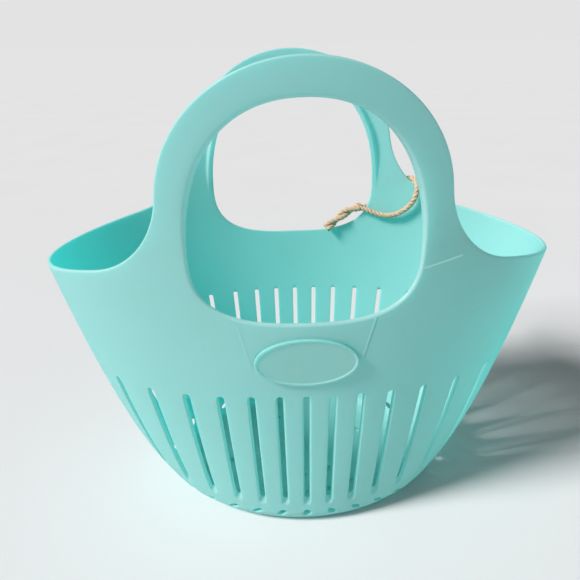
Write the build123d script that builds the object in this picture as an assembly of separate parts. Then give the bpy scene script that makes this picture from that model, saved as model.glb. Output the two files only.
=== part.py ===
"""Garden colander basket: a one-piece moulded basket with two loop handles and a twine tie.

Millimetres. +Z is up, +X runs along the basket, the front faces -Y.
The origin is the middle of the base, on the surface that the basket stands on.
"""
from build123d import *
import math
import os

# Bowl
rim_half_length = 165.0
rim_tip_height = 176.0
base_half_length = 83.0
base_half_depth = 72.0
side_slope = 0.08
end_curve = 0.52
base_round = 12.0
wall = 2.6
floor = 3.0

# Rim and handles, drawn in the front view
rim_rise = 11.8
rim_sweep = 54.0
arch_half_width = 76.5
arch_spring_height = 223.6
handle_top = 297.0
grip_width = 18.3
opening_half_width = 62.7
opening_widest_height = 201.3
opening_bottom = 159.3
opening_top_power = 2.23
opening_bottom_power = 2.98
lip_depth = 4.5
lip_thickness = 2.2

# Flexing line of each handle, across its two legs
flex_height = 216.0
flex_radius = 6.5
flex_gap = 0.3

# Drain slots and holes
slot_count = 32
slot_width = 4.4
slot_top = 109.0
slot_bottom = 18.0
slot_bottom_at_tips = 27.0
slot_margin = 4.5
drain_diameter = 5.5
drain_pitch = 18.0
drain_ring_shares = (0.74, 0.44)
drain_tilt = 45.0

# Name plate
plate_length = 60.0
plate_height = 32.0
plate_proud = 1.0
plate_border = 1.8
plate_border_proud = 0.6

# Twine, with its route round the right leg of the rear handle
twine_diameter = 3.4
knot_length = 9.0
knot_diameter = 7.0
tail_spread = 4.2
bend_share = 0.45
knot_round_share = 0.4
loop_route = [
    (53.0, 75.8, 180.0),
    (60.5, 73.5, 175.5),
    (69.5, 72.0, 171.8),
    (78.5, 69.0, 171.2),
    (87.5, 65.0, 174.5),
    (95.0, 62.8, 181.5),
    (99.0, 63.5, 190.5),
    (98.5, 68.0, 198.5),
    (94.5, 75.5, 203.6),
    (87.0, 80.5, 203.0),
    (78.5, 83.2, 198.0),
    (70.0, 85.2, 191.5),
    (61.5, 86.5, 185.0),
    (52.8, 83.8, 180.5),
]
tail_route = [
    (51.5, 79.8, 180.6),
    (42.5, 79.8, 177.0),
    (36.0, 80.2, 171.6),
    (30.0, 80.6, 165.5),
    (25.0, 80.2, 162.4),
]

opening_top = handle_top - grip_width
slotted_from = slot_bottom - slot_margin
upper_from = slot_top + slot_margin
shell_top = handle_top + wall
half_turn = math.pi

# Fineness of the curved forms
edge_steps = 6
edge_crowding = 2.0
floor_steps = 5
floor_crowding = 1.4
wall_steps = 12
opening_steps = 48
touch_halvings = 60


# Bowl surface: every level section is an ellipse
def corner_inset(z):
    """How far the rounded base edge draws the wall in at height z."""
    short_of_round = max(base_round - z, 0.0)
    return base_round - math.sqrt(base_round ** 2 - short_of_round ** 2)


def half_length(z):
    flare = (rim_half_length - base_half_length) * (max(z, 0.0) / rim_tip_height) ** end_curve
    return base_half_length + flare - corner_inset(z)


def half_depth(z):
    return base_half_depth + side_slope * z - corner_inset(z)


def slant(profile, z):
    """Level thickness of a wall of unit thickness that leans as the profile does at height z."""
    step = 0.01
    return math.hypot(1.0, (profile(z + step) - profile(z - step)) / (2 * step))


def oval(z, inset=0.0):
    half_x = half_length(z)
    half_y = half_depth(z)
    if inset:
        half_x -= inset * slant(half_length, z)
        half_y -= inset * slant(half_depth, z)
    return Plane.XY.offset(z) * Ellipse(half_x, half_y)


def bowl(low, high, inset, steps, crowding=1.0):
    """Solid inside the wall surface between two heights, with its sections crowded towards the lower one."""
    heights = [low + (high - low) * (i / steps) ** crowding for i in range(steps + 1)]
    return loft([oval(z, inset) for z in heights])


def wall_point(angle, z):
    """Point of the outer wall at height z, in the upright plane at a compass angle from the front."""
    sine = math.sin(angle)
    cosine = math.cos(angle)
    reach = 1 / math.hypot(sine / half_length(z), cosine / half_depth(z))
    return Vector(reach * sine, -reach * cosine, z)


def wall_depth(x, z):
    """Distance of the outer wall from the middle plane, at x and z of the front view."""
    return half_depth(z) * math.sqrt(1 - (x / half_length(z)) ** 2)


# Front view: rim lines, arch and opening
def arch_point(turn):
    return arch_half_width * math.cos(turn), arch_spring_height + (handle_top - arch_spring_height) * math.sin(turn)


def sweep_centre(turn):
    """Centre of the arc that touches the arch at the given turn, on its outer side."""
    x, z = arch_point(turn)
    across = math.cos(turn) / arch_half_width
    upward = math.sin(turn) / (handle_top - arch_spring_height)
    share = rim_sweep / math.hypot(across, upward)
    return x + across * share, z + upward * share


def sweep_height(turn):
    """Height of that arc above the rim line, square to the line."""
    x, z = sweep_centre(turn)
    rise = math.radians(rim_rise)
    return (z - rim_tip_height) * math.cos(rise) - (rim_half_length - x) * math.sin(rise) - rim_sweep


def touch_turn():
    """Turn on the arch at which the arc also touches the rim line."""
    low = -half_turn / 3
    high = half_turn / 3
    for _ in range(touch_halvings):
        middle = (low + high) / 2
        if sweep_height(middle) < 0:
            low = middle
        else:
            high = middle
    return high


sweep_turn = touch_turn()
sweep_x, sweep_z = sweep_centre(sweep_turn)


def outline():
    """Front view of the rim and both sides of the arch, as one face in the XZ plane."""
    rise = math.radians(rim_rise)
    beyond = rim_half_length + 2 * wall
    tip_z = rim_tip_height - 2 * wall * math.tan(rise)
    touch_x = sweep_x - rim_sweep * math.sin(rise)
    touch_z = sweep_z - rim_sweep * math.cos(rise)
    arch_x, arch_z = arch_point(sweep_turn)
    start = math.atan2(touch_z - sweep_z, touch_x - sweep_x)
    end = math.atan2(arch_z - sweep_z, arch_x - sweep_x)
    if end > 0:
        end -= 2 * half_turn
    middle = (start + end) / 2
    mid_x = sweep_x + rim_sweep * math.cos(middle)
    mid_z = sweep_z + rim_sweep * math.sin(middle)
    turn = math.degrees(sweep_turn)
    arch = EllipticalCenterArc((0, arch_spring_height), arch_half_width, handle_top - arch_spring_height,
                               turn, arc_size=180 - 2 * turn)
    edges = [
        Line((-beyond, upper_from), (beyond, upper_from)),
        Line((beyond, upper_from), (beyond, tip_z)),
        Line((beyond, tip_z), (touch_x, touch_z)),
        ThreePointArc((touch_x, touch_z), (mid_x, mid_z), (arch_x, arch_z)),
        arch,
        ThreePointArc((-arch_x, arch_z), (-mid_x, mid_z), (-touch_x, touch_z)),
        Line((-touch_x, touch_z), (-beyond, tip_z)),
        Line((-beyond, tip_z), (-beyond, upper_from)),
    ]
    return Plane.XZ * make_face(Curve() + edges)


def opening_x(z):
    """Half width of the handle opening at height z."""
    if z > opening_widest_height:
        share = (z - opening_widest_height) / (opening_top - opening_widest_height)
        power = opening_top_power
    else:
        share = (opening_widest_height - z) / (opening_widest_height - opening_bottom)
        power = opening_bottom_power
    return opening_half_width * (1 - share ** power) ** (1 / power)


def opening(grow=0.0):
    """Rounded handle opening, grown all round if asked, as a face in the XZ plane."""
    points = []
    for i in range(opening_steps):
        turn = 2 * half_turn * i / opening_steps
        sine = math.sin(turn)
        cosine = math.cos(turn)
        power = opening_top_power if sine > 0 else opening_bottom_power
        reach = opening_top - opening_widest_height if sine > 0 else opening_widest_height - opening_bottom
        x = math.copysign(abs(cosine) ** (2 / power), cosine) * (opening_half_width + grow)
        z = math.copysign(abs(sine) ** (2 / power), sine) * (reach + grow)
        points.append((x, opening_widest_height + z))
    return Plane.XZ * make_face(Spline(points, periodic=True))


def through(face):
    """Prism of a front-view face through the whole depth of the basket."""
    return extrude(face, amount=2 * base_half_depth, both=True)


def slab(low, high):
    span = 4 * rim_half_length
    return Pos(0, 0, (low + high) / 2) * Box(span, span, high - low)


# Moulding, divided into its zones
base_outer = bowl(0.0, slotted_from, 0.0, edge_steps, edge_crowding)
base_inner = bowl(floor, slotted_from, wall, floor_steps, floor_crowding)
wall_outer = bowl(slotted_from, shell_top, 0.0, wall_steps)
wall_inner = bowl(slotted_from, shell_top, wall, wall_steps)
wall_shell = wall_outer - wall_inner


def leg_middle():
    """Place of the flexing line across a leg, as its distance from the middle plane."""
    x_out = sweep_x - math.sqrt(rim_sweep ** 2 - (sweep_z - flex_height) ** 2)
    x = (opening_x(flex_height) + x_out) / 2
    return wall_depth(x, flex_height) - wall / 2


flex_y = leg_middle()


def flex_cylinder(side, radius):
    return Pos(0, side * flex_y, flex_height) * Rot(0, 90, 0) * Cylinder(radius, 2 * rim_half_length)


def make_base_floor():
    base = base_outer - base_inner
    drain_z = base_round * (1 - math.sin(math.radians(drain_tilt)))
    half_x = half_length(drain_z)
    half_y = half_depth(drain_z)
    drill = Cylinder(drain_diameter / 2, 6 * floor)
    tilt = math.radians(drain_tilt)
    cuts = []
    for i in range(slot_count):
        turn = 2 * half_turn * i / slot_count
        heading = math.atan2(math.sin(turn) / half_y, math.cos(turn) / half_x)
        out = Vector(math.cos(heading) * math.cos(tilt), math.sin(heading) * math.cos(tilt), -math.sin(tilt))
        spot = Vector(half_x * math.cos(turn), half_y * math.sin(turn), drain_z)
        cuts.append(Plane(origin=spot, z_dir=out) * drill)
    for share in drain_ring_shares:
        ring_x = share * half_length(0)
        ring_y = share * half_depth(0)
        count = round(2 * half_turn * math.sqrt((ring_x ** 2 + ring_y ** 2) / 2) / drain_pitch)
        for i in range(count):
            turn = 2 * half_turn * (i + 0.5) / count
            cuts.append(Pos(ring_x * math.cos(turn), ring_y * math.sin(turn), 0) * drill)
    cuts.append(drill)
    return base - cuts


def make_slotted_wall():
    ring = wall_shell & slab(slotted_from, upper_from)
    cuts = []
    for i in range(slot_count):
        angle = 2 * half_turn * i / slot_count
        low = wall_point(angle, slot_bottom + (slot_bottom_at_tips - slot_bottom) * math.sin(angle) ** 2)
        high = wall_point(angle, slot_top)
        middle = (low + high) / 2
        along = (high - low).normalized()
        level = Vector(middle.Y / half_depth(middle.Z) ** 2, -middle.X / half_length(middle.Z) ** 2, 0)
        facing = Plane(origin=middle, x_dir=along, z_dir=along.cross(level))
        slot = SlotOverall((high - low).length, slot_width)
        cuts.append(extrude(facing * slot, amount=4 * wall, both=True))
    return ring - cuts


upper_zone = (wall_shell & slab(upper_from, shell_top)) & through(outline() - opening())


def make_upper_wall():
    above = slab(flex_height, shell_top + wall)
    return upper_zone - [above, flex_cylinder(-1, flex_radius + flex_gap), flex_cylinder(1, flex_radius + flex_gap)]


def make_handle(side):
    """One loop handle above its flexing line, with the lip curled in round its opening."""
    above = slab(flex_height, shell_top + wall) + flex_cylinder(side, flex_radius)
    half = Pos(0, side * rim_half_length, handle_top / 2) * Box(
        4 * rim_half_length, 2 * rim_half_length, 2 * handle_top)
    loop = upper_zone & above & half
    lip_inner = bowl(slotted_from, shell_top, wall + lip_depth, wall_steps)
    lip_band = through(opening(lip_thickness) - opening())
    lip_zone = slab(flex_height + flex_radius, shell_top)
    lip = (wall_inner - lip_inner) & lip_band & lip_zone & half
    return loop + lip


def make_name_plate():
    """Bare oval plate with a thin raised border, seated on the front wall between slots and opening."""
    z = (slot_top + opening_bottom) / 2
    facing = Plane(origin=(0, -half_depth(z), z), x_dir=(1, 0, 0), z_dir=(0, -1, -side_slope))
    oval_face = Ellipse(plate_length / 2, plate_height / 2)
    plate = extrude(facing.offset(-2 * wall) * oval_face, amount=2 * wall + plate_proud)
    rim = oval_face - Ellipse(plate_length / 2 - plate_border, plate_height / 2 - plate_border)
    border = extrude(facing.offset(plate_proud) * rim, amount=plate_border_proud)
    return (plate - wall_outer) + border


# Twine
def corner_radii(points):
    """Radius of each corner of a route, as large as its two runs allow."""
    radii = []
    for before, here, after in zip(points, points[1:], points[2:]):
        run_in = Vector(here) - Vector(before)
        run_out = Vector(after) - Vector(here)
        turn = math.radians(run_in.get_angle(run_out))
        radii.append(bend_share * min(run_in.length, run_out.length) / math.tan(turn / 2))
    return radii


def strand(name, points):
    radii = corner_radii(points)
    path = FilletPolyline(points, radius=radii)
    start = Plane(origin=path @ 0, z_dir=path % 0)
    tube = sweep(start * Circle(twine_diameter / 2), path=path)
    ideal = half_turn * (twine_diameter / 2) ** 2 * path.length
    print(name, "length", round(path.length, 1), "volume share", round(tube.volume / ideal, 4),
          "radii", [round(radius, 1) for radius in radii])
    return tube


def make_knot():
    """Half knot where the loop closes, as a short barrel along the first run of the tails."""
    middle = (Vector(loop_route[0]) + Vector(loop_route[-1])) / 2
    along = Vector(tail_route[1]) - Vector(tail_route[0])
    barrel = Cylinder(knot_diameter / 2, knot_length)
    barrel = fillet(barrel.edges(), knot_diameter * knot_round_share)
    return Plane(origin=middle, z_dir=along) * barrel


def shifted(points, y_shift):
    return [(x, y + y_shift, z) for x, y, z in points]


parts = {
    "base_floor": make_base_floor(),
    "slotted_wall": make_slotted_wall(),
    "upper_wall": make_upper_wall(),
    "front_handle": make_handle(-1),
    "back_handle": make_handle(1),
    "name_plate": make_name_plate(),
    "twine_loop": strand("twine_loop", loop_route),
    "twine_tail_front": strand("twine_tail_front", shifted(tail_route, -tail_spread / 2)),
    "twine_tail_back": strand("twine_tail_back", shifted(tail_route, tail_spread / 2)),
    "twine_knot": make_knot(),
}

os.makedirs("parts", exist_ok=True)
for name, solid in parts.items():
    export_step(solid, f"parts/{name}.step")
print("flexing line at y", round(flex_y, 3), "sweep turn", round(math.degrees(sweep_turn), 2))
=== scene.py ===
"""Looks of the garden colander basket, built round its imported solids.

The wall is worked out in millimetres, as the solids are, and made metres when a piece becomes an object.
"""
import bisect
import math
import random

import bmesh
import bpy
from mathutils import Matrix, Vector


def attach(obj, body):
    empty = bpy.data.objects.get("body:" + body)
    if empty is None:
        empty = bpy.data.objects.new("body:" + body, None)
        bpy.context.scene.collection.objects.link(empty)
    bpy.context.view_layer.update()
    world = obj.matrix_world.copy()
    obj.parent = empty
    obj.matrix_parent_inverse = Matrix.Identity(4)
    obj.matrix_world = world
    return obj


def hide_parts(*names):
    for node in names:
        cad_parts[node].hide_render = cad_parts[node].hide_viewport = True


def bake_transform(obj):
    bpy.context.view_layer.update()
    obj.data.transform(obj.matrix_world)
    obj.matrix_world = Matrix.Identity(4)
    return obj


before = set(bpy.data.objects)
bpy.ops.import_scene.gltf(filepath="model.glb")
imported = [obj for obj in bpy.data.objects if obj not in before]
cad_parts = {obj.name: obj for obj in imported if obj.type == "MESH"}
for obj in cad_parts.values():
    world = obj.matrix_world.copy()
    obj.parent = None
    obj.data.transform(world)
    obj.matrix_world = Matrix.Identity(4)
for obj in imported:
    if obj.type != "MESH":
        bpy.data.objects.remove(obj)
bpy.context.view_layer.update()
scene = bpy.context.scene
scene.view_settings.view_transform = "Standard"

METRE = 0.001
QUARTER = math.pi / 2

# Camera
sensor_width = 36.0
lens_length = 34.96
camera_right = (0.999, -0.036, -0.021)
camera_forward = (0.025, 0.913, -0.407)
camera_place = (-16.108, -359.263, 303.017)

# Bowl
rim_half_length = 165.0
rim_tip_height = 176.0
base_half_length = 83.0
base_half_depth = 72.0
side_slope = 0.08
end_curve = 0.52
base_round = 9.5
wall = 2.6
floor_thickness = 3.0
edge_arc = base_round * QUARTER

# Rim and handles in the front view
rim_rise = math.radians(11.8)
rim_sweep = 54.0
sweep_x = 129.62
sweep_z = 238.58
sweep_turn = math.radians(6.63)
arch_half_width = 76.5
arch_spring_height = 223.6
handle_top = 297.0
opening_half_width = 62.7
opening_widest_height = 201.3
opening_bottom = 159.3
opening_top = 278.7
opening_top_power = 2.23
opening_bottom_power = 2.98

# Lip curled in round each opening, with the rings' distances from the edge and its share of depth there
lip_depth = 4.5
lip_fades_from = 190.0
lip_full_from = 240.0
curl_depth = 0.6
curl_width = 6.0
ring_outer = (0.0, 2.1, 2.5, 2.9, 3.4, 4.0, 4.8, 6.0)
ring_inner = (0.0, 2.8, 3.4, 3.9, 4.3, 4.7, 5.2, 6.0)
lip_share = (1.0, 1.0, 0.93, 0.75, 0.45, 0.2, 0.05, 0.0)
band_rings = 6
edge_ring = 2.6

# Drain slots, wider outside than inside and sloped up inwards at both ends
slots_per_quarter = 8
slot_outer_half = 2.35
slot_inner_half = 1.5
slot_top = 109.0
slot_bottom = 17.2
slot_bottom_at_tips = 27.0
slot_tip_power = 6
slot_ramp = 5.5
slot_top_ramp = 2.5
front_slot_spread = math.radians(2.9)
front_slot_dip = 5.2
slot_shares = (0.0, 0.5, 0.866, 1.0)
end_shares = (1.0, 0.866, 0.5, 0.0)
slot_rows = 12
above_slots = 4.5
wall_top = 116.0
upright_from = -8.0
upright_to = 8.0
slot_columns = 3
drain_columns = 2
gap_columns = 4
pitch_columns = 2 * slot_columns + gap_columns
quarter_columns = slots_per_quarter * pitch_columns

# Drain holes, and the rows of the rounded base edge below them
drain_turn = 90.0
drain_radius = 2.75
drain_land = 4.3
drain_sides = 12
drain_pitch = 18.0
drain_ring_shares = (0.74, 0.44)
drain_line_shares = (0.0, 0.5, 0.866, 1.5)
drain_end_shares = (1.0, 0.866, 0.5, 0.5)
edge_degrees = (0.0, 15.0, 30.0, 45.0, 57.0)

# Blocks of the upper wall: columns below the opening, rows beside it and spokes of the arch
under_columns = 5 * pitch_columns
side_rows = 12
arch_spokes = 40
handle_spoke = under_columns + side_rows
spoke_count = handle_spoke + arch_spokes
under_share = 0.34
sweep_share = 0.483
side_height = 66.0

# Rounding of the edges
rim_round = 1.0
opening_round = 1.6
lip_round = 0.8
slot_outer_round = 0.6
slot_inner_round = 0.4
round_segments = 4
slot_round_segments = 2
opening_margin = 1.06

# Tolerances
weld = 0.004
tube_weld = 0.001
on_middle = 0.002
on_floor = 0.001

# Name plate
plate_length = 60.0
plate_height = 32.0
plate_proud = 1.0
plate_border = 1.1
plate_border_proud = 0.6
plate_round = 0.28
plate_round_segments = 3
plate_sides = 96
plate_sharp_from = 0.6
plate_seat = 2.1
plate_z = 134.15

# Marks on the front wall: two raised creases beside the plate, with ends and heights, and a straight line
# painted paler
creases = (
    (((39.1, -82.3, 160.4), (33.0, -80.9, 135.2)), 0.8),
    (((-37.8, -82.3, 157.9), (-31.7, -80.6, 129.8)), 0.14),
)
crease_half_width = 1.3
pale_line_ends = ((64.2, -80.5, 189.0), (85.7, -75.5, 193.7))
pale_line_half_width = 0.75

# Twine
twine_diameter = 3.6
route_steps = 12
loop_route = [
    (52.0, 77.2, 178.9),
    (58.5, 74.8, 177.6),
    (64.0, 73.2, 174.9),
    (71.0, 71.0, 173.2),
    (79.2, 67.8, 174.2),
    (86.2, 65.4, 178.6),
    (91.6, 64.0, 184.2),
    (94.4, 64.2, 190.2),
    (95.8, 66.4, 196.4),
    (96.2, 72.2, 200.8),
    (92.2, 79.8, 201.2),
    (83.6, 85.8, 197.0),
    (75.6, 88.2, 190.6),
    (69.5, 88.4, 184.2),
    (64.5, 87.0, 179.6),
    (58.0, 83.2, 177.0),
    (51.5, 81.0, 177.6),
]
tail_route = [
    (52.4, 79.2, 178.6),
    (43.0, 79.0, 175.6),
    (36.0, 78.2, 170.2),
    (26.4, 77.2, 162.6),
]
ply_count = 3
ply_radius = 1.13
ply_turn_radius = 0.97
ply_lay = 10.5
tail_turn_radius = 1.8
tail_lay = 30.0
knot_turns = 1.5
knot_steps = 14
knot_pitch = 2.1
knot_half_width = 3.9
knot_half_height = 2.3
knot_twine_share = 0.55
knot_tuck = 0.3
fuzz_per_line = 60
fuzz_seed = 7
fuzz_radius = 0.035
fuzz_root = 0.47
fuzz_reach = (0.3, 1.3)
fuzz_lean = (-1.8, 1.8)
fuzz_knee = (0.7, 0.5)
fuzz_tip = (0.3, 0.6)

# Finishes, with colours as 0 to 255 values
noise_range = (0.3, 0.7)
mint_clouds = ((211, 242, 241), (216, 246, 245))
cloud_scale = 14.0
# Paler colour painted along a straight line on the front wall
mint_pale_line = (180, 255, 250)
pale_line_core = 0.5
# Painted highlight: paler colour on the rounded rim, opening and lip edges, standing in for light caught
# there
mint_painted_edge_highlight = (242, 253, 252)
painted_edge_highlight_share = 0.6
mint_glow = (0, 250, 246)
glow_share = 0.55
plastic_roughness = (0.36, 0.47)
smear_scale = 55.0
grain_scale = 420.0
grain_strength = 0.12
grain_height = 0.4
jute_fibres = ((162, 128, 96), (240, 216, 189))
fibre_stretch = (60.0, 9.0, 1.0)
fibre_slant = 0.35
fibre_strength = 0.8
fibre_height = 0.4
jute_patches = (223, 193, 161)
patch_scale = 260.0
patch_range = (0.35, 0.65)
jute_roughness = 0.85
jute_specular = 0.25

# Floor and light
floor_half = 40000.0
floor_drop = 0.05
floor_tones = ((228, 228, 229), (230, 230, 231))
floor_tone_scale = 6.0
backdrop_tone = (227, 227, 228)
around_strength = 0.15
key_direction = (1.4, 0.5, -1.3)
key_softness = 16.0
key_strength = 3.92
fill_direction = (-0.9, 1.2, -1.0)
fill_softness = 60.0
fill_strength = 0.08


def linear(*srgb):
    """Colour picked as 0 to 255 values, for a shader."""
    shares = [value / 255 for value in srgb]
    return (*(s / 12.92 if s <= 0.04045 else ((s + 0.055) / 1.055) ** 2.4 for s in shares), 1.0)


def mix(a, b, share):
    return a + (b - a) * share


def smooth_step(value, low, high):
    share = min(1.0, max(0.0, (value - low) / (high - low)))
    return share * share * (3 - 2 * share)


def make_camera():
    """Camera at the place the photograph was taken from."""
    camera = bpy.data.objects.new("camera", bpy.data.cameras.new("camera"))
    camera.data.sensor_width = sensor_width
    camera.data.lens = lens_length
    right = Vector(camera_right).normalized()
    forward = Vector(camera_forward).normalized()
    up = right.cross(forward).normalized()
    right = forward.cross(up)
    place = Matrix((right, up, -forward)).transposed().to_4x4()
    place.translation = Vector(camera_place) * METRE
    camera.matrix_world = place
    scene.collection.objects.link(camera)
    scene.camera = camera


make_camera()


# Materials
def new_material(name):
    material = bpy.data.materials.new(name)
    material.use_nodes = True
    nodes = material.node_tree.nodes
    return material, nodes, material.node_tree.links, nodes["Principled BSDF"]


def noise(nodes, links, source, scale, detail=3.0, roughness=0.5):
    node = nodes.new("ShaderNodeTexNoise")
    node.inputs["Scale"].default_value = scale
    node.inputs["Detail"].default_value = detail
    node.inputs["Roughness"].default_value = roughness
    links.new(source, node.inputs["Vector"])
    return node.outputs["Fac"]


def ramp(nodes, links, source, low, high, low_value, high_value):
    node = nodes.new("ShaderNodeMapRange")
    node.inputs["From Min"].default_value = low
    node.inputs["From Max"].default_value = high
    node.inputs["To Min"].default_value = low_value
    node.inputs["To Max"].default_value = high_value
    links.new(source, node.inputs["Value"])
    return node.outputs["Result"]


def blend_colours(nodes, links, share, first, second):
    node = nodes.new("ShaderNodeMix")
    node.data_type = "RGBA"
    colours = [socket for socket in node.inputs if socket.type == "RGBA"]
    for socket, colour in zip(colours, (first, second)):
        if isinstance(colour, tuple):
            socket.default_value = colour
        else:
            links.new(colour, socket)
    links.new(share, node.inputs["Factor"])
    return next(socket for socket in node.outputs if socket.type == "RGBA")


def vector_math(nodes, links, operation, source, other):
    """Vector step between a socket and a second socket or a fixed vector."""
    node = nodes.new("ShaderNodeVectorMath")
    node.operation = operation
    links.new(source, node.inputs[0])
    if isinstance(other, Vector):
        node.inputs[1].default_value = other
    else:
        links.new(other, node.inputs[1])
    return node


def straight_mark(nodes, links, place, ends, half_width):
    """Share of a straight mark: 1 on its line and 0 beside it."""
    start = Vector(ends[0]) * METRE
    stroke = Vector(ends[1]) * METRE - start
    along = stroke.normalized()
    offset = vector_math(nodes, links, "SUBTRACT", place, start).outputs["Vector"]
    run = vector_math(nodes, links, "DOT_PRODUCT", offset, along).outputs["Value"]
    run = ramp(nodes, links, run, 0.0, stroke.length, 0.0, stroke.length)
    nearest = nodes.new("ShaderNodeVectorMath")
    nearest.operation = "SCALE"
    nearest.inputs[0].default_value = along
    links.new(run, nearest.inputs["Scale"])
    gap = vector_math(nodes, links, "DISTANCE", offset, nearest.outputs["Vector"]).outputs["Value"]
    return ramp(nodes, links, gap, 0.0, half_width * METRE, 1.0, 0.0)


def add_bump(nodes, links, height, strength, distance, normal=None):
    bump = nodes.new("ShaderNodeBump")
    bump.inputs["Strength"].default_value = strength
    bump.inputs["Distance"].default_value = distance * METRE
    links.new(height, bump.inputs["Height"])
    if normal:
        links.new(normal, bump.inputs["Normal"])
    return bump.outputs["Normal"]


def make_mint_plastic():
    material, nodes, links, shader = new_material("mint_plastic")
    place = nodes.new("ShaderNodeTexCoord").outputs["Object"]
    clouds = noise(nodes, links, place, cloud_scale, detail=4.0)
    clouds = ramp(nodes, links, clouds, *noise_range, 0.0, 1.0)
    colour = blend_colours(nodes, links, clouds, *(linear(*tone) for tone in mint_clouds))
    smears = noise(nodes, links, place, smear_scale, detail=5.0, roughness=0.6)
    smears = ramp(nodes, links, smears, *noise_range, *plastic_roughness)
    links.new(smears, shader.inputs["Roughness"])
    grain = noise(nodes, links, place, grain_scale, roughness=0.6)
    normal = add_bump(nodes, links, grain, grain_strength, grain_height)
    for ends, height in creases:
        crease = straight_mark(nodes, links, place, ends, crease_half_width)
        normal = add_bump(nodes, links, crease, 1.0, height, normal)
    # Straight line painted paler, where the see-through share falls to nothing
    pale_line = straight_mark(nodes, links, place, pale_line_ends, pale_line_half_width)
    pale_line = ramp(nodes, links, pale_line, 0.0, pale_line_core, 0.0, 1.0)
    colour = blend_colours(nodes, links, pale_line, colour, linear(*mint_pale_line))
    # Painted highlight on the rounded rim, opening and lip edges, read from their vertex attribute
    edge = nodes.new("ShaderNodeAttribute")
    edge.attribute_name = "painted_highlight_edges"
    painted_highlight = ramp(nodes, links, edge.outputs["Fac"], 0.0, 1.0, 0.0, painted_edge_highlight_share)
    colour = blend_colours(nodes, links, painted_highlight, colour, linear(*mint_painted_edge_highlight))
    links.new(colour, shader.inputs["Base Color"])
    links.new(normal, shader.inputs["Normal"])
    glow = nodes.new("ShaderNodeBsdfTranslucent")
    glow.inputs["Color"].default_value = linear(*mint_glow)
    plastic = nodes.new("ShaderNodeMixShader")
    links.new(ramp(nodes, links, pale_line, 0.0, 1.0, glow_share, 0.0), plastic.inputs["Fac"])
    links.new(shader.outputs["BSDF"], plastic.inputs[1])
    links.new(glow.outputs["BSDF"], plastic.inputs[2])
    links.new(plastic.outputs["Shader"], nodes["Material Output"].inputs["Surface"])
    return material


def make_jute():
    material, nodes, links, shader = new_material("jute_twine")
    ply = nodes.new("ShaderNodeTexCoord").outputs["UV"]
    stretch = nodes.new("ShaderNodeMapping")
    stretch.inputs["Scale"].default_value = fibre_stretch
    stretch.inputs["Rotation"].default_value = (0.0, 0.0, fibre_slant)
    links.new(ply, stretch.inputs["Vector"])
    strands = noise(nodes, links, stretch.outputs["Vector"], 1.0, detail=5.0, roughness=0.65)
    place = nodes.new("ShaderNodeTexCoord").outputs["Object"]
    patches = ramp(nodes, links, noise(nodes, links, place, patch_scale), *patch_range, 0.0, 1.0)
    shade = ramp(nodes, links, strands, *noise_range, 0.0, 1.0)
    fibre = blend_colours(nodes, links, shade, *(linear(*tone) for tone in jute_fibres))
    colour = blend_colours(nodes, links, patches, fibre, linear(*jute_patches))
    links.new(colour, shader.inputs["Base Color"])
    links.new(add_bump(nodes, links, strands, fibre_strength, fibre_height), shader.inputs["Normal"])
    shader.inputs["Roughness"].default_value = jute_roughness
    shader.inputs["Specular IOR Level"].default_value = jute_specular
    return material


mint_plastic = make_mint_plastic()
jute = make_jute()


def new_piece(name, bm, material):
    """Object in metres made from a bmesh in millimetres."""
    bmesh.ops.scale(bm, vec=(METRE, METRE, METRE), verts=bm.verts)
    mesh = bpy.data.meshes.new(name)
    bm.to_mesh(mesh)
    bm.free()
    mesh.materials.append(material)
    piece = bpy.data.objects.new(name, mesh)
    scene.collection.objects.link(piece)
    return piece


# Twine
def spline_line(route):
    """Points along the smooth spline whose control points are the route."""
    curve = bpy.data.curves.new("route", "CURVE")
    curve.dimensions = "3D"
    curve.resolution_u = route_steps
    spline = curve.splines.new("NURBS")
    spline.points.add(len(route) - 1)
    for point, place in zip(spline.points, route):
        point.co = (*place, 1.0)
    spline.order_u = 3
    spline.use_endpoint_u = True
    holder = bpy.data.objects.new("route", curve)
    mesh = bpy.data.meshes.new_from_object(holder)
    line = [vertex.co.copy() for vertex in mesh.vertices]
    bpy.data.meshes.remove(mesh)
    bpy.data.curves.remove(curve)
    return line


def carried_frames(line):
    """Two directions square to the line at each of its points, carried along without twist."""
    frames = []
    side = None
    for i in range(len(line)):
        along = (line[min(i + 1, len(line) - 1)] - line[max(i - 1, 0)]).normalized()
        if side is None:
            side = along.orthogonal()
        side = (side - along * side.dot(along)).normalized()
        frames.append((side.copy(), along.cross(side)))
    return frames


def twisted_lines(line, count, radius, lay):
    """Middle lines of strands that twist together along a line."""
    frames = carried_frames(line)
    lines = []
    for strand in range(count):
        run = 0.0
        points = []
        for i, (point, (side, over)) in enumerate(zip(line, frames)):
            if i:
                run += (point - line[i - 1]).length
            angle = 2 * math.pi * (run / lay + strand / count)
            points.append(point + (side * math.cos(angle) + over * math.sin(angle)) * radius)
        lines.append(points)
    return lines


def add_tubes(bm, lines, radius, resolution=2):
    """Closed round tubes along lines."""
    curve = bpy.data.curves.new("tubes", "CURVE")
    curve.dimensions = "3D"
    curve.bevel_depth = radius
    curve.bevel_resolution = resolution
    curve.use_fill_caps = True
    for line in lines:
        spline = curve.splines.new("POLY")
        spline.points.add(len(line) - 1)
        for point, place in zip(spline.points, line):
            point.co = (*place, 1.0)
    holder = bpy.data.objects.new("tubes", curve)
    mesh = bpy.data.meshes.new_from_object(holder)
    bm.from_mesh(mesh)
    bpy.data.meshes.remove(mesh)
    bpy.data.curves.remove(curve)
    bmesh.ops.remove_doubles(bm, verts=bm.verts, dist=tube_weld)


def twine_piece(name, bm):
    for face in bm.faces:
        face.smooth = True
    piece = new_piece(name, bm, jute)
    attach(piece, "basket")
    return piece


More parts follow.
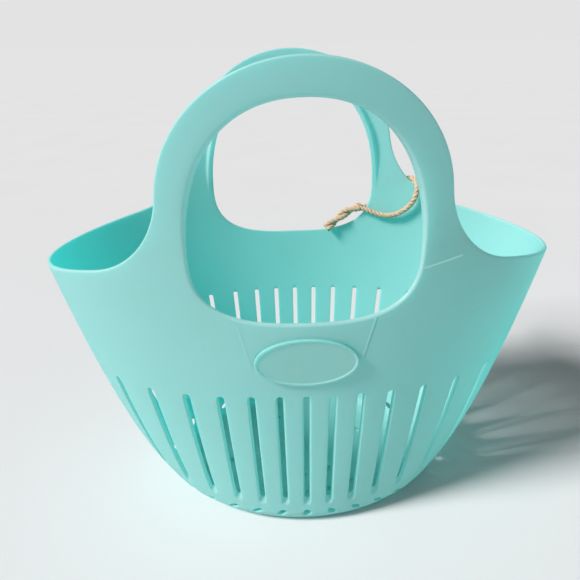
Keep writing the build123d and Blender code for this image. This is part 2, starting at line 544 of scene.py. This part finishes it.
def make_twine(name, line, share=1.0):
    """Three plies twisted along a line. share makes the twine thinner, as where it is drawn tight."""
    bm = bmesh.new()
    plies = twisted_lines(line, ply_count, ply_turn_radius * share, ply_lay * share)
    add_tubes(bm, plies, ply_radius * share)
    return twine_piece(name, bm)


def knot_line():
    """Turns of twine drawn tight round the start of the two tails."""
    middle = Vector(tail_route[0])
    along = (Vector(tail_route[1]) - middle).normalized()
    over = along.cross(Vector((0.0, 1.0, 0.0))).normalized()
    side = over.cross(along)
    last = round(knot_turns * knot_steps)
    route = []
    for i in range(last + 1):
        angle = 2 * math.pi * i / knot_steps
        reach = knot_tuck if i in (0, last) else 1.0
        place = middle + along * (i / knot_steps - knot_turns / 2) * knot_pitch
        around = side * math.sin(angle) * knot_half_width - over * math.cos(angle) * knot_half_height
        route.append(place + around * reach)
    return spline_line(route)


def make_fuzz(lines):
    """Short loose fibres that stand out along the twine."""
    picker = random.Random(fuzz_seed)
    fibres = []
    for line in lines:
        frames = carried_frames(line)
        for _ in range(fuzz_per_line):
            i = picker.randrange(len(line) - 1)
            side, over = frames[i]
            along = (line[i + 1] - line[i]).normalized()
            angle = picker.uniform(0.0, 2 * math.pi)
            out = side * math.cos(angle) + over * math.sin(angle)
            reach = picker.uniform(*fuzz_reach)
            lean = picker.uniform(*fuzz_lean)
            root = line[i] + out * twine_diameter * fuzz_root
            knee = root + out * reach * fuzz_knee[0] + along * lean * fuzz_knee[1]
            tip = knee + out * reach * fuzz_tip[0] + along * lean * fuzz_tip[1]
            fibres.append([root, knee, tip])
    bm = bmesh.new()
    add_tubes(bm, fibres, fuzz_radius, resolution=0)
    return twine_piece("twine_fuzz", bm)


loop_line = spline_line(loop_route)
tail_front_line, tail_back_line = twisted_lines(spline_line(tail_route), 2, tail_turn_radius, tail_lay)
twine_loop = make_twine("twine_loop_strands", loop_line)
twine_tail_front = make_twine("twine_tail_front_strands", tail_front_line)
twine_tail_back = make_twine("twine_tail_back_strands", tail_back_line)
twine_knot = make_twine("twine_knot_turns", knot_line(), knot_twine_share)
make_fuzz([loop_line, loop_line, tail_front_line, tail_back_line])
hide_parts("twine_loop")
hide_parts("twine_tail_front")
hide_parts("twine_tail_back")
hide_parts("twine_knot")


# Moulding: every place on its outer face is a turn from the front and a climb up from the rounded base edge
def profile(climb):
    """Half length, half depth and height of the outer face at a climb."""
    inset = 0.0
    z = base_round + climb
    if climb < 0:
        turn = max(0.0, 1 + climb / edge_arc) * QUARTER
        z = base_round * (1 - math.cos(turn))
        inset = base_round * (1 - math.sin(turn))
    flare = (rim_half_length - base_half_length) * (z / rim_tip_height) ** end_curve
    return base_half_length + flare - inset, base_half_depth + side_slope * z - inset, z


def outer_face(turn, climb):
    half_x, half_y, z = profile(climb)
    return Vector((half_x * math.sin(turn), -half_y * math.cos(turn), z))


def outward(turn, climb):
    """Direction square to the outer face."""
    turn_step = 0.0005
    climb_step = 0.05
    across = outer_face(turn + turn_step, climb) - outer_face(turn - turn_step, climb)
    up = outer_face(turn, climb + climb_step) - outer_face(turn, max(climb - climb_step, -edge_arc))
    return across.cross(up).normalized()


def inner_face(turn, climb, lip=0.0):
    base_share = min(1.0, max(0.0, -climb / edge_arc))
    thickness = mix(wall, floor_thickness, base_share) + lip
    return outer_face(turn, climb) - outward(turn, climb) * thickness


def stretch_across(turn, climb):
    """Millimetres along the wall for each radian of turn."""
    half_x, half_y, _ = profile(climb)
    return math.hypot(half_x * math.cos(turn), half_y * math.sin(turn))


def stretch_up(turn, climb):
    """Millimetres up the wall for each millimetre of climb."""
    step = 0.5
    return (outer_face(turn, climb + step) - outer_face(turn, climb - step)).length / (2 * step)


def front_view(x, z):
    """Turn and climb of the place that shows at x and z in the front view."""
    climb = z - base_round
    return math.asin(min(1.0, x / profile(climb)[0])), climb


# Slotted wall and rounded base edge of one quarter
def slot_turn(slot, climb):
    """Turn of a slot's middle line: upright at the slots, and evenly round the ellipse at the drains."""
    half_x, half_y, _ = profile(climb)
    compass = QUARTER * slot / slots_per_quarter
    upright = math.atan2(half_y * math.sin(compass), half_x * math.cos(compass))
    return mix(compass, upright, smooth_step(climb, upright_from, upright_to))


def beside_slot(slot, offset, climb):
    middle = slot_turn(slot, climb)
    return middle + offset / stretch_across(middle, climb)


def line_of(column):
    """A column line's slot, its number and side from the slot's middle, and its share of a gap."""
    slot, place = divmod(column, pitch_columns)
    if place <= slot_columns:
        return slot, place, 1, None
    if place >= slot_columns + gap_columns:
        return slot + 1, pitch_columns - place, -1, None
    return slot, slot_columns, 1, (place - slot_columns) / gap_columns


def column_turn(column, climb, offsets):
    slot, line, side, share = line_of(column)
    if share is None:
        return beside_slot(slot, side * offsets[line], climb)
    return mix(beside_slot(slot, offsets[-1], climb), beside_slot(slot + 1, -offsets[-1], climb), share)


slot_offsets = {False: [share * slot_outer_half for share in slot_shares],
                True: [share * slot_inner_half for share in slot_shares]}
drain_offsets = [share * drain_radius for share in drain_line_shares]
drain_middle_offsets = [*drain_offsets[:drain_columns], drain_radius, drain_offsets[-1]]


def edge_climb(degrees):
    return (math.radians(degrees) / QUARTER - 1) * edge_arc


def slot_low(column, inner):
    """Climb at which the straight sides of the slots begin, which rises towards the tips."""
    compass = QUARTER * column / quarter_columns
    low = mix(slot_bottom, slot_bottom_at_tips, math.sin(compass) ** slot_tip_power) - base_round
    return low + (slot_ramp + slot_inner_half if inner else slot_outer_half)


wall_rows = ([("edge", degrees) for degrees in edge_degrees]
             + [("drain", side) for side in (-1, 0, 1)]
             + [("below", 0.5)]
             + [("slot", row / slot_rows) for row in range(slot_rows + 1)]
             + [("above", slot_top + above_slots), ("above", wall_top)])
drain_row = wall_rows.index(("drain", -1))
slot_row = wall_rows.index(("slot", 0.0))


def wall_place(column, row, inner):
    """Turn and climb of a crossing of the wall's column and row lines."""
    kind, value = wall_rows[row]
    slot, line, _, _ = line_of(column)
    half = slot_inner_half if inner else slot_outer_half
    if kind == "edge":
        climb = edge_climb(value)
        return column_turn(column, climb, drain_offsets), climb
    if kind == "drain":
        middle = edge_climb(drain_turn)
        half_height = drain_end_shares[line] * drain_radius / stretch_up(slot_turn(slot, middle), middle)
        climb = middle + value * half_height
        return column_turn(column, climb, drain_offsets if value else drain_middle_offsets), climb
    if kind == "below":
        climb = value * (slot_bottom - base_round)
        return column_turn(column, climb, drain_offsets), climb
    low = slot_low(column, inner)
    high = slot_top - half - base_round + (slot_top_ramp if inner else 0.0)
    if kind == "slot":
        climb = mix(low, high, value)
        if value in (0.0, 1.0):
            climb += math.copysign(end_shares[line] * half, value - 0.5)
        return column_turn(column, climb, slot_offsets[inner]), climb
    climb = value - base_round
    return column_turn(column, climb, slot_offsets[False]), climb


# Rim, arch and opening of one quarter, in the front view
def measured(points):
    """Points with their distances along the line through them."""
    runs = [0.0]
    for a, b in zip(points, points[1:]):
        runs.append(runs[-1] + math.dist(a, b))
    return points, runs


def point_along(line, run):
    points, runs = line
    i = min(len(points) - 2, max(0, bisect.bisect_right(runs, run) - 1))
    share = (run - runs[i]) / (runs[i + 1] - runs[i])
    return mix(points[i][0], points[i + 1][0], share), mix(points[i][1], points[i + 1][1], share)


def rim_outline(steps=200):
    """From the tip along the rim, up the sweep and over the arch, and the run to the handle's leg.

    Runs are measured along the wall, so that lines spread evenly round the tight turn at the tip.
    """
    first = -QUARTER - rim_rise
    last = sweep_turn - math.pi
    sweep_start = (sweep_x + rim_sweep * math.cos(first), sweep_z + rim_sweep * math.sin(first))
    points = []
    for i in range(steps):
        share = (i / steps) ** 2
        points.append((mix(rim_half_length, sweep_start[0], share),
                       mix(rim_tip_height, sweep_start[1], share)))
    for i in range(steps + 1):
        angle = mix(first, last, i / steps)
        points.append((sweep_x + rim_sweep * math.cos(angle), sweep_z + rim_sweep * math.sin(angle)))
    for i in range(1, steps + 1):
        angle = mix(sweep_turn, QUARTER, i / steps)
        points.append((arch_half_width * math.cos(angle),
                       arch_spring_height + (handle_top - arch_spring_height) * math.sin(angle)))
    runs = measured([outer_face(*front_view(*point)) for point in points])[1]
    return (points, runs), runs[steps + round(sweep_share * steps)]


def opening_outline(steps=400):
    """From the middle of the opening's lower edge round its side to the middle of its top."""
    points = []
    for i in range(steps + 1):
        angle = mix(-QUARTER, QUARTER, i / steps)
        sine = math.sin(angle)
        power = opening_top_power if sine > 0 else opening_bottom_power
        reach = opening_top - opening_widest_height if sine > 0 else opening_widest_height - opening_bottom
        x = opening_half_width * max(0.0, math.cos(angle)) ** (2 / power)
        points.append((x, opening_widest_height + math.copysign(abs(sine) ** (2 / power) * reach, sine)))
    return measured(points)


rim_line, rim_run = rim_outline()
opening_line = opening_outline()
arch_run = rim_line[1][-1]
opening_run = opening_line[1][-1]
side_share = opening_line[1][len(opening_line[1]) // 2] / opening_run


def opening_place(spoke, offset):
    """Front view of a place out from the opening's edge, square to it."""
    if spoke <= under_columns:
        share = under_share * spoke / under_columns
    elif spoke <= handle_spoke:
        share = mix(under_share, side_share, (spoke - under_columns) / side_rows)
    else:
        share = mix(side_share, 1.0, (spoke - handle_spoke) / arch_spokes)
    run = share * opening_run
    step = 0.4
    x, z = point_along(opening_line, run)
    before = point_along(opening_line, max(0.0, run - step))
    after = point_along(opening_line, min(opening_run, run + step))
    along = Vector((after[0] - before[0], after[1] - before[1])).normalized()
    if spoke in (0, spoke_count):
        along = Vector((1.0 if spoke == 0 else -1.0, 0.0))
    return x + along.y * offset, z - along.x * offset


def side_row_share(row):
    """Share of the way from the slotted wall to the rim, with the last row close under the edge."""
    last = 1 - edge_ring / side_height
    return 1.0 if row == side_rows else last * row / (side_rows - 1)


def rim_place(column, row):
    """Turn and climb in the block between the slotted wall and the rim, right of the opening's block."""
    low = wall_place(column, len(wall_rows) - 1, False)
    run = rim_run * (quarter_columns - column) / (quarter_columns - under_columns)
    high = front_view(*point_along(rim_line, run))
    share = side_row_share(row)
    return mix(low[0], high[0], share), mix(low[1], high[1], share)


def spoke_end(spoke):
    if spoke <= under_columns:
        return wall_place(spoke, len(wall_rows) - 1, False)
    if spoke <= handle_spoke:
        return rim_place(under_columns, spoke - under_columns)
    share = (spoke - handle_spoke) / arch_spokes
    return front_view(*point_along(rim_line, mix(rim_run, arch_run, share)))


def spoke_place(spoke, ring, inner):
    """Turn and climb of a crossing of a spoke and a ring round the opening."""
    offsets = ring_inner if inner else ring_outer
    close = len(offsets) - 1
    if ring <= close:
        return front_view(*opening_place(spoke, offsets[ring]))
    start = front_view(*opening_place(spoke, offsets[close]))
    end = spoke_end(spoke)
    if ring == close + band_rings + 1:
        return end
    length = (outer_face(*end) - outer_face(*start)).length
    share = (ring - close) / band_rings * (1 - edge_ring / length)
    return mix(start[0], end[0], share), mix(start[1], end[1], share)


def lip_fade(place):
    """Share of the lip's full depth, which is lost down the legs."""
    return smooth_step(place[1] + base_round, lip_fades_from, lip_full_from)


def lip_at(place, ring):
    """How far the inner face stands in at a ring round the opening."""
    return lip_depth * lip_share[ring] * lip_fade(place) if ring < len(lip_share) else 0.0


def curl_at(place, ring):
    """How far the outer face bends in at a ring round the opening."""
    if ring >= len(ring_outer):
        return 0.0
    share = 1 - ring_outer[ring] / curl_width
    return curl_depth * share * share * lip_fade(place)


def add_block(bm, columns, rows, places, is_open=None, on_handle=False):
    """Grid of the given number of cells, laid on the wall.

    places gives each crossing's outer and inner point.
    """
    inner_layer = bm.verts.layers.float_vector["inner"]
    handle_layer = bm.faces.layers.int["handle"]
    old_faces = set(bm.faces)
    grid = bmesh.ops.create_grid(bm, x_segments=columns, y_segments=rows, size=1.0)["verts"]
    for number, vertex in enumerate(grid):
        row, column = divmod(number, columns + 1)
        vertex.co, vertex[inner_layer] = places(column, row)
    cells = [face for face in bm.faces if face not in old_faces]
    for face in cells:
        face[handle_layer] = on_handle
    if is_open:
        spare = [face for number, face in enumerate(cells) if is_open(number % columns, number // columns)]
        bmesh.ops.delete(bm, geom=spare, context="FACES")


def wall_points(column, row):
    return outer_face(*wall_place(column, row, False)), inner_face(*wall_place(column, row, True))


def wall_is_open(column, row):
    place = column % pitch_columns
    in_slot = place < slot_columns or place >= pitch_columns - slot_columns
    in_drain = place < drain_columns or place >= pitch_columns - drain_columns
    if slot_row <= row < slot_row + slot_rows:
        return in_slot
    return drain_row <= row < drain_row + 2 and in_drain


def spoke_points(spoke, ring):
    outer = spoke_place(spoke, ring, False)
    inner = spoke_place(spoke, ring, True)
    curled = outer_face(*outer) - outward(*outer) * curl_at(outer, ring)
    return curled, inner_face(*inner, lip_at(inner, ring))


def arch_points(spoke, ring):
    return spoke_points(handle_spoke + spoke, ring)


def rim_points(column, row):
    place = rim_place(under_columns + column, row)
    return outer_face(*place), inner_face(*place)


def add_floor(bm):
    """Flat floor inside the rounded edge, with its rings of drain holes."""
    inner_layer = bm.verts.layers.float_vector["inner"]
    rim_edges = [edge for edge in bm.edges if edge.is_boundary and all(v.co.z < on_floor for v in edge.verts)]
    half_x, half_y, _ = profile(-edge_arc)
    spots = [(0.0, 0.0)]
    for ring_share in drain_ring_shares:
        ring_x = ring_share * half_x
        ring_y = ring_share * half_y
        count = round(2 * math.pi * math.sqrt((ring_x ** 2 + ring_y ** 2) / 2) / drain_pitch)
        for i in range(count):
            angle = 2 * math.pi * (i + 0.5) / count
            spots.append((ring_x * math.cos(angle), ring_y * math.sin(angle)))
    made = set(bm.verts)
    for x, y in spots:
        place = Matrix.Translation((x, y, 0.0))
        loops = []
        for radius in (drain_radius, drain_land):
            ring = bmesh.ops.create_circle(bm, segments=drain_sides, radius=radius, matrix=place)["verts"]
            loops.append({edge for vertex in ring for edge in vertex.link_edges})
        bmesh.ops.bridge_loops(bm, edges=list(loops[0] | loops[1]))
        rim_edges.extend(loops[1])
    bmesh.ops.triangle_fill(bm, use_beauty=True, edges=rim_edges, normal=(0.0, 0.0, -1.0))
    for vertex in bm.verts:
        if vertex not in made:
            vertex[inner_layer] = (vertex.co.x, vertex.co.y, floor_thickness)


def front_place(place):
    """Place in the front half moved along the wall with its slots.

    Between the middle and the tips they lie further apart than the back's, and their tops are lower.
    """
    if place.y > -on_middle or place.z < base_round:
        return place
    half_x, half_y, _ = profile(place.z - base_round)
    reach = math.hypot(place.x / half_x, place.y / half_y)
    compass = math.atan2(place.x, -place.y)
    fade = 1 - smooth_step(place.z, slot_top, opening_bottom)
    aside = math.sin(compass) ** 2 * math.sin(2 * compass) * fade
    compass += front_slot_spread * aside * smooth_step(place.z, base_round, slot_bottom)
    dip = front_slot_dip * abs(aside) * smooth_step(place.z, slot_bottom, slot_top)
    half_x, half_y, z = profile(place.z - dip - base_round)
    turn = math.atan2(half_y * math.sin(compass), half_x * math.cos(compass))
    return Vector((reach * half_x * math.sin(turn), -reach * half_y * math.cos(turn), z))


def make_sheet():
    """Outer face of the whole moulding, with each vertex's place on the inner face beside it."""
    bm = bmesh.new()
    inner_layer = bm.verts.layers.float_vector.new("inner")
    bm.faces.layers.int.new("handle")
    add_block(bm, quarter_columns, len(wall_rows) - 1, wall_points, wall_is_open)
    add_block(bm, quarter_columns - under_columns, side_rows, rim_points)
    add_block(bm, handle_spoke, len(ring_outer) + band_rings, spoke_points)
    add_block(bm, arch_spokes, len(ring_outer) + band_rings, arch_points, on_handle=True)
    loose = [vertex for vertex in bm.verts if not vertex.link_faces]
    bmesh.ops.delete(bm, geom=loose, context="VERTS")
    bmesh.ops.remove_doubles(bm, verts=bm.verts, dist=weld)
    for axis in "XY":
        everything = bm.verts[:] + bm.edges[:] + bm.faces[:]
        bmesh.ops.mirror(bm, geom=everything, matrix=Matrix.Identity(4), merge_dist=weld, axis=axis)
    for vertex in bm.verts:
        place = vertex[inner_layer]
        x = math.copysign(place.x, vertex.co.x) if abs(vertex.co.x) > on_middle else 0.0
        y = math.copysign(place.y, vertex.co.y) if abs(vertex.co.y) > on_middle else 0.0
        vertex[inner_layer] = front_place(Vector((x, y, place.z)))
        vertex.co = front_place(vertex.co)
    add_floor(bm)
    bmesh.ops.recalc_face_normals(bm, faces=bm.faces)
    lowest = min(bm.faces, key=lambda face: face.calc_center_median().z)
    if lowest.normal.z > 0:
        bmesh.ops.reverse_faces(bm, faces=bm.faces)
    return bm


def edge_kind(edge):
    """Which rounding an edge of the moulding takes, by where it is."""
    middle = (edge.verts[0].co + edge.verts[1].co) / 2
    if middle.z < wall_top:
        return "slot"
    x = abs(middle.x) / opening_half_width
    above = middle.z > opening_widest_height
    power = opening_top_power if above else opening_bottom_power
    reach = opening_top - opening_widest_height if above else opening_widest_height - opening_bottom
    size = (x ** power + (abs(middle.z - opening_widest_height) / reach) ** power) ** (1 / power)
    return "opening" if size < opening_margin else "rim"


def make_moulding():
    """Closed shell of the whole moulding with its edges rounded."""
    bm = make_sheet()
    inner_layer = bm.verts.layers.float_vector["inner"]
    kind_layer = bm.edges.layers.int.new("kind")
    rounded_layer = bm.faces.layers.int.new("rounded")
    outside = set(bm.faces)
    made = bmesh.ops.extrude_face_region(bm, geom=bm.faces[:], use_keep_orig=True)["geom"]
    inside = {item for item in made if isinstance(item, bmesh.types.BMFace)}
    for item in made:
        if isinstance(item, bmesh.types.BMVert):
            item.co = item[inner_layer]
    if bm.calc_volume(signed=True) < 0:
        bmesh.ops.reverse_faces(bm, faces=bm.faces)
    rounds = {("rim", True): rim_round,
              ("rim", False): rim_round,
              ("opening", True): opening_round,
              ("opening", False): lip_round,
              ("slot", True): slot_outer_round,
              ("slot", False): slot_inner_round}
    kinds = list(rounds)
    for face in bm.faces:
        if face not in outside and face not in inside:
            face[rounded_layer] = face.calc_center_median().z > wall_top
    for edge in bm.edges:
        sides = [face for face in edge.link_faces if face not in outside and face not in inside]
        if len(edge.link_faces) == 2 and len(sides) == 1:
            on_outside = any(face in outside for face in edge.link_faces)
            edge[kind_layer] = 1 + kinds.index((edge_kind(edge), on_outside))
    for number, kind in enumerate(kinds):
        edges = [edge for edge in bm.edges if edge[kind_layer] == number + 1]
        segments = slot_round_segments if kind[0] == "slot" else round_segments
        made = bmesh.ops.bevel(bm, geom=edges, offset=rounds[kind], offset_type="OFFSET", affect="EDGES",
                               segments=segments, profile=0.5, material=-1, loop_slide=True,
                               clamp_overlap=False)
        for face in made["faces"]:
            face[rounded_layer] = kind[0] != "slot"
        for edge in edges:
            if edge.is_valid:
                edge[kind_layer] = 0
    # Vertices wholly on the rounded rim, opening and lip edges carry the painted highlight
    painted_highlight_layer = bm.verts.layers.float.new("painted_highlight_edges")
    for vertex in bm.verts:
        vertex[painted_highlight_layer] = float(all(face[rounded_layer] for face in vertex.link_faces))
    for face in bm.faces:
        face.smooth = True
    return bm


def cut_out(bm, keep):
    """Copy of the moulding with only the faces to keep, closed where it was cut."""
    part = bm.copy()
    handle_layer = part.faces.layers.int["handle"]
    spare = [face for face in part.faces if not keep(face[handle_layer], face.calc_center_median().y)]
    bmesh.ops.delete(part, geom=spare, context="FACES")
    cut = [edge for edge in part.edges if edge.is_boundary]
    caps = bmesh.ops.edgeloop_fill(part, edges=cut)["faces"]
    for face in caps:
        face.smooth = False
    return part


def crisp_shading(piece):
    """Keeps broad faces flat up to their rounded edges."""
    modifier = piece.modifiers.new("crisp", "WEIGHTED_NORMAL")
    modifier.mode = "FACE_AREA"
    modifier.keep_sharp = True


moulding = make_moulding()
bowl = new_piece("bowl_skin", cut_out(moulding, lambda on_handle, y: not on_handle), mint_plastic)
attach(bowl, "basket")
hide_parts("base_floor", "slotted_wall", "upper_wall")
crisp_shading(bowl)
for side, body in ((-1, "front_handle"), (1, "back_handle")):
    handle = new_piece(body + "_skin", cut_out(moulding, lambda on_handle, y: on_handle and y * side > 0),
                       mint_plastic)
    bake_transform(handle)
    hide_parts(body)
    crisp_shading(handle)
moulding.free()


# Name plate
def make_name_plate():
    """Bare oval plate with a thin raised border, seated in the front wall."""
    bm = bmesh.new()
    bmesh.ops.create_circle(bm, cap_ends=True, segments=plate_sides, radius=1.0)
    bmesh.ops.scale(bm, vec=(plate_length / 2, plate_height / 2, 1.0), verts=bm.verts)
    face = next(iter(bm.faces))
    if face.normal.z < 0:
        face.normal_flip()
    bmesh.ops.inset_region(bm, faces=[face], thickness=plate_border, use_boundary=True)
    bmesh.ops.inset_region(bm, faces=[face], thickness=plate_border_proud, depth=-plate_border_proud)
    skirt = bmesh.ops.extrude_edge_only(bm, edges=[edge for edge in bm.edges if edge.is_boundary])["geom"]
    bmesh.ops.translate(bm, vec=(0.0, 0.0, -plate_proud - plate_border_proud - plate_seat),
                        verts=[item for item in skirt if isinstance(item, bmesh.types.BMVert)])
    bmesh.ops.edgeloop_fill(bm, edges=[edge for edge in bm.edges if edge.is_boundary])
    bmesh.ops.recalc_face_normals(bm, faces=bm.faces)
    sharp = [edge for edge in bm.edges
             if edge.calc_face_angle(0.0) > plate_sharp_from and edge.verts[0].co.z > -wall / 2]
    bmesh.ops.bevel(bm, geom=sharp, offset=plate_round, offset_type="OFFSET", affect="EDGES",
                    segments=plate_round_segments, profile=0.5, material=-1, clamp_overlap=False)
    for face in bm.faces:
        face.smooth = True
    facing = Vector((0.0, -1.0, -side_slope)).normalized()
    upward = Vector((0.0, -side_slope, 1.0)).normalized()
    place = Matrix((Vector((1.0, 0.0, 0.0)), upward, facing)).transposed().to_4x4()
    half_depth = profile(plate_z - base_round)[1]
    place.translation = Vector((0.0, -half_depth, plate_z)) + facing * (plate_proud + plate_border_proud)
    bmesh.ops.transform(bm, matrix=place, verts=bm.verts)
    piece = new_piece("name_plate_bare", bm, mint_plastic)
    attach(piece, "basket")
    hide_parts("name_plate")
    crisp_shading(piece)


make_name_plate()


# Floor and light
def make_floor():
    """Wide pale floor, a hair under the base."""
    material, nodes, links, shader = new_material("pale_floor")
    place = nodes.new("ShaderNodeTexCoord").outputs["Object"]
    share = ramp(nodes, links, noise(nodes, links, place, floor_tone_scale), *noise_range, 0.0, 1.0)
    pale = blend_colours(nodes, links, share, *(linear(*tone) for tone in floor_tones))
    links.new(pale, shader.inputs["Base Color"])
    shader.inputs["Roughness"].default_value = 1.0
    shader.inputs["Specular IOR Level"].default_value = 0.0
    bm = bmesh.new()
    bmesh.ops.create_grid(bm, x_segments=1, y_segments=1, size=floor_half)
    bmesh.ops.translate(bm, vec=(0.0, 0.0, -floor_drop), verts=bm.verts)
    new_piece("floor", bm, material)


def make_light(name, direction, softness, strength):
    lamp = bpy.data.lights.new(name, "SUN")
    lamp.angle = math.radians(softness)
    lamp.energy = strength
    holder = bpy.data.objects.new(name, lamp)
    holder.rotation_euler = Vector(direction).to_track_quat("-Z", "Y").to_euler()
    scene.collection.objects.link(holder)


def make_surroundings():
    """Even white light from all round, which shows to the camera in the floor's own tone."""
    world = bpy.data.worlds.new("studio")
    world.use_nodes = True
    nodes = world.node_tree.nodes
    links = world.node_tree.links
    around = nodes["Background"]
    around.inputs["Color"].default_value = (1.0, 1.0, 1.0, 1.0)
    around.inputs["Strength"].default_value = around_strength
    behind = nodes.new("ShaderNodeBackground")
    behind.inputs["Color"].default_value = linear(*backdrop_tone)
    behind.inputs["Strength"].default_value = 1.0
    choice = nodes.new("ShaderNodeMixShader")
    links.new(nodes.new("ShaderNodeLightPath").outputs["Is Camera Ray"], choice.inputs["Fac"])
    links.new(around.outputs["Background"], choice.inputs[1])
    links.new(behind.outputs["Background"], choice.inputs[2])
    links.new(choice.outputs["Shader"], nodes["World Output"].inputs["Surface"])
    scene.world = world


make_floor()
make_light("key", key_direction, key_softness, key_strength)
make_light("fill", fill_direction, fill_softness, fill_strength)
make_surroundings()
